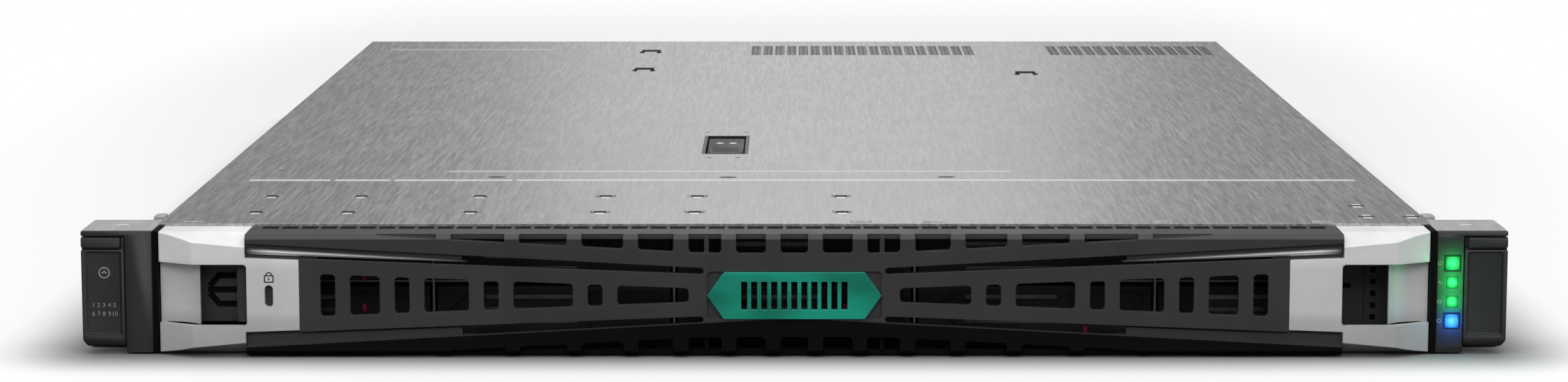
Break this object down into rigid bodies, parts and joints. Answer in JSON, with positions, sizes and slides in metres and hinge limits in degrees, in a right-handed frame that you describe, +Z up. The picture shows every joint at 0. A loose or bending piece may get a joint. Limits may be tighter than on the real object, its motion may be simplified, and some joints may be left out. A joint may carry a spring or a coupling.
{
  "type": "rack server",
  "caption": "Flat one-unit rack server with vented front bezel, rack ears, sliding top panel, fans, drives and two plug-in power supplies.",
  "frame": {"origin": "on the underside of the chassis, in the plane of the rack posts' front faces, midway between the posts", "axes": "+X to the right seen from the front, +Y from the front to the rear, +Z up"},
  "size_m": [0.4826, 0.71, 0.0433],
  "materials": {
    "steel_cover": "brushed front to rear",
    "steel_chassis": "zinc-plated sheet",
    "steel_ear": "zinc-plated sheet",
    "steel_fastener": "plated",
    "black_moulding": "fine grain",
    "bezel_moulding": "fine grain",
    "silver_moulding": "satin silver paint",
    "teal_metal": "metallic satin",
    "green_light": "lit",
    "blue_light": "lit",
    "circuit_board": "solder mask",
    "carrier_moulding": "fine grain",
    "magenta_moulding": "satin",
    "drive_case": "satin",
    "fan_moulding": "satin",
    "socket_moulding": "satin",
    "heat_metal": "satin",
    "baffle_moulding": "satin",
    "port_metal": "plated",
    "supply_case": "plated sheet",
    "supply_handle": "satin",
    "latch_moulding": "satin"
  },
  "bodies": {
    "chassis": {"air_baffle": "baffle_moulding", "chassis_pan": "steel_chassis", "drive_backplane": "circuit_board", "drive_cage": "steel_chassis", "drive_carriers": "carrier_moulding", "drive_release_tabs": "magenta_moulding", "drives": "drive_case", "ear_screws": "steel_fastener", "fan_housings": "fan_moulding", "front_top_cover": "steel_cover", "heatsink": "heat_metal", "heatsink_screws": "steel_fastener", "latch_strike": "steel_chassis", "left_ear_bracket": "steel_ear", "left_ear_housing": "black_moulding", "lever_pins": "steel_fastener", "memory_modules": "circuit_board", "memory_slots": "socket_moulding", "network_card": "port_metal", "processor": "heat_metal", "processor_socket": "socket_moulding", "rack_screws": "steel_fastener", "rail_studs": "steel_fastener", "rear_panel": "steel_chassis", "rear_ports": "port_metal", "right_ear_bracket": "steel_ear", "right_ear_housing": "black_moulding", "riser_cage": "steel_chassis", "slot_covers": "steel_chassis", "status_board": "circuit_board", "status_lights": "green_light", "system_board": "circuit_board"},
    "access_panel": {"access_panel": "steel_cover", "latch_frame": "steel_chassis"},
    "panel_latch": {"latch_lever": "black_moulding"},
    "bezel": {"bezel_frame": "bezel_moulding", "bezel_left_cap": "silver_moulding", "bezel_right_cap": "silver_moulding", "bezel_vent_insert": "teal_metal"},
    "bezel_release": {"bezel_release_slider": "bezel_moulding"},
    "left_lever": {"left_release_lever": "black_moulding"},
    "right_lever": {"right_release_lever": "black_moulding"},
    "power_button": {"power_button": "green_light"},
    "locator_button": {"locator_button": "blue_light"},
    "power_supply_1": {"power_supply_1_case": "supply_case", "power_supply_1_handle": "supply_handle"},
    "power_supply_2": {"power_supply_2_case": "supply_case", "power_supply_2_handle": "supply_handle"},
    "power_supply_1_latch": {"power_supply_1_latch": "latch_moulding"},
    "power_supply_2_latch": {"power_supply_2_latch": "latch_moulding"},
    "fan_1": {"fan_rotor_1": "fan_moulding"},
    "fan_2": {"fan_rotor_2": "fan_moulding"},
    "fan_3": {"fan_rotor_3": "fan_moulding"},
    "fan_4": {"fan_rotor_4": "fan_moulding"},
    "fan_5": {"fan_rotor_5": "fan_moulding"},
    "fan_6": {"fan_rotor_6": "fan_moulding"},
    "fan_7": {"fan_rotor_7": "fan_moulding"}
  },
  "joints": [
    {"name": "panel_slide", "type": "slide", "parent": "chassis", "child": "access_panel", "axis": [0, 1, 0], "range_m": [0, 0.01]},
    {"name": "panel_latch_hinge", "type": "hinge", "parent": "access_panel", "child": "panel_latch", "pos_m": [-0.0273, 0.234, 0.0384], "axis": [-1, 0, 0], "range_deg": [0, 50]},
    {"name": "bezel_pull", "type": "slide", "parent": "chassis", "child": "bezel", "axis": [0, -1, 0], "range_m": [0, 0.06]},
    {"name": "bezel_release_slide", "type": "slide", "parent": "bezel", "child": "bezel_release", "axis": [1, 0, 0], "range_m": [0, 0.004], "stiffness_N_per_m": 600, "springref_m": -0.003},
    {"name": "left_lever_hinge", "type": "hinge", "parent": "chassis", "child": "left_lever", "pos_m": [-0.2341, -0.025, 0.0054], "axis": [1, 0, 0], "range_deg": [0, 80]},
    {"name": "right_lever_hinge", "type": "hinge", "parent": "chassis", "child": "right_lever", "pos_m": [0.2341, -0.025, 0.0054], "axis": [1, 0, 0], "range_deg": [0, 80]},
    {"name": "power_button_press", "type": "slide", "parent": "chassis", "child": "power_button", "axis": [0, 1, 0], "range_m": [0, 0.0012], "stiffness_N_per_m": 600, "springref_m": -0.001},
    {"name": "locator_button_press", "type": "slide", "parent": "chassis", "child": "locator_button", "axis": [0, 1, 0], "range_m": [0, 0.0012], "stiffness_N_per_m": 600, "springref_m": -0.001},
    {"name": "power_supply_1_slide", "type": "slide", "parent": "chassis", "child": "power_supply_1", "axis": [0, 1, 0], "range_m": [0, 0.19]},
    {"name": "power_supply_1_latch_slide", "type": "slide", "parent": "power_supply_1", "child": "power_supply_1_latch", "axis": [-1, 0, 0], "range_m": [0, 0.003], "stiffness_N_per_m": 900, "springref_m": -0.003},
    {"name": "power_supply_2_slide", "type": "slide", "parent": "chassis", "child": "power_supply_2", "axis": [0, 1, 0], "range_m": [0, 0.19]},
    {"name": "power_supply_2_latch_slide", "type": "slide", "parent": "power_supply_2", "child": "power_supply_2_latch", "axis": [-1, 0, 0], "range_m": [0, 0.003], "stiffness_N_per_m": 900, "springref_m": -0.003},
    {"name": "fan_1_spin", "type": "hinge", "parent": "chassis", "child": "fan_1", "pos_m": [-0.18009, 0.131, 0.0214], "axis": [0, 1, 0], "continuous": true},
    {"name": "fan_2_spin", "type": "hinge", "parent": "chassis", "child": "fan_2", "pos_m": [-0.12006, 0.131, 0.0214], "axis": [0, 1, 0], "continuous": true},
    {"name": "fan_3_spin", "type": "hinge", "parent": "chassis", "child": "fan_3", "pos_m": [-0.06003, 0.131, 0.0214], "axis": [0, 1, 0], "continuous": true},
    {"name": "fan_4_spin", "type": "hinge", "parent": "chassis", "child": "fan_4", "pos_m": [0, 0.131, 0.0214], "axis": [0, 1, 0], "continuous": true},
    {"name": "fan_5_spin", "type": "hinge", "parent": "chassis", "child": "fan_5", "pos_m": [0.06003, 0.131, 0.0214], "axis": [0, 1, 0], "continuous": true},
    {"name": "fan_6_spin", "type": "hinge", "parent": "chassis", "child": "fan_6", "pos_m": [0.12006, 0.131, 0.0214], "axis": [0, 1, 0], "continuous": true},
    {"name": "fan_7_spin", "type": "hinge", "parent": "chassis", "child": "fan_7", "pos_m": [0.18009, 0.131, 0.0214], "axis": [0, 1, 0], "continuous": true}
  ],
  "couplings": [
    {"joint": "panel_latch_hinge", "follows": "panel_slide", "rad_per_m": 87.2}
  ]
}
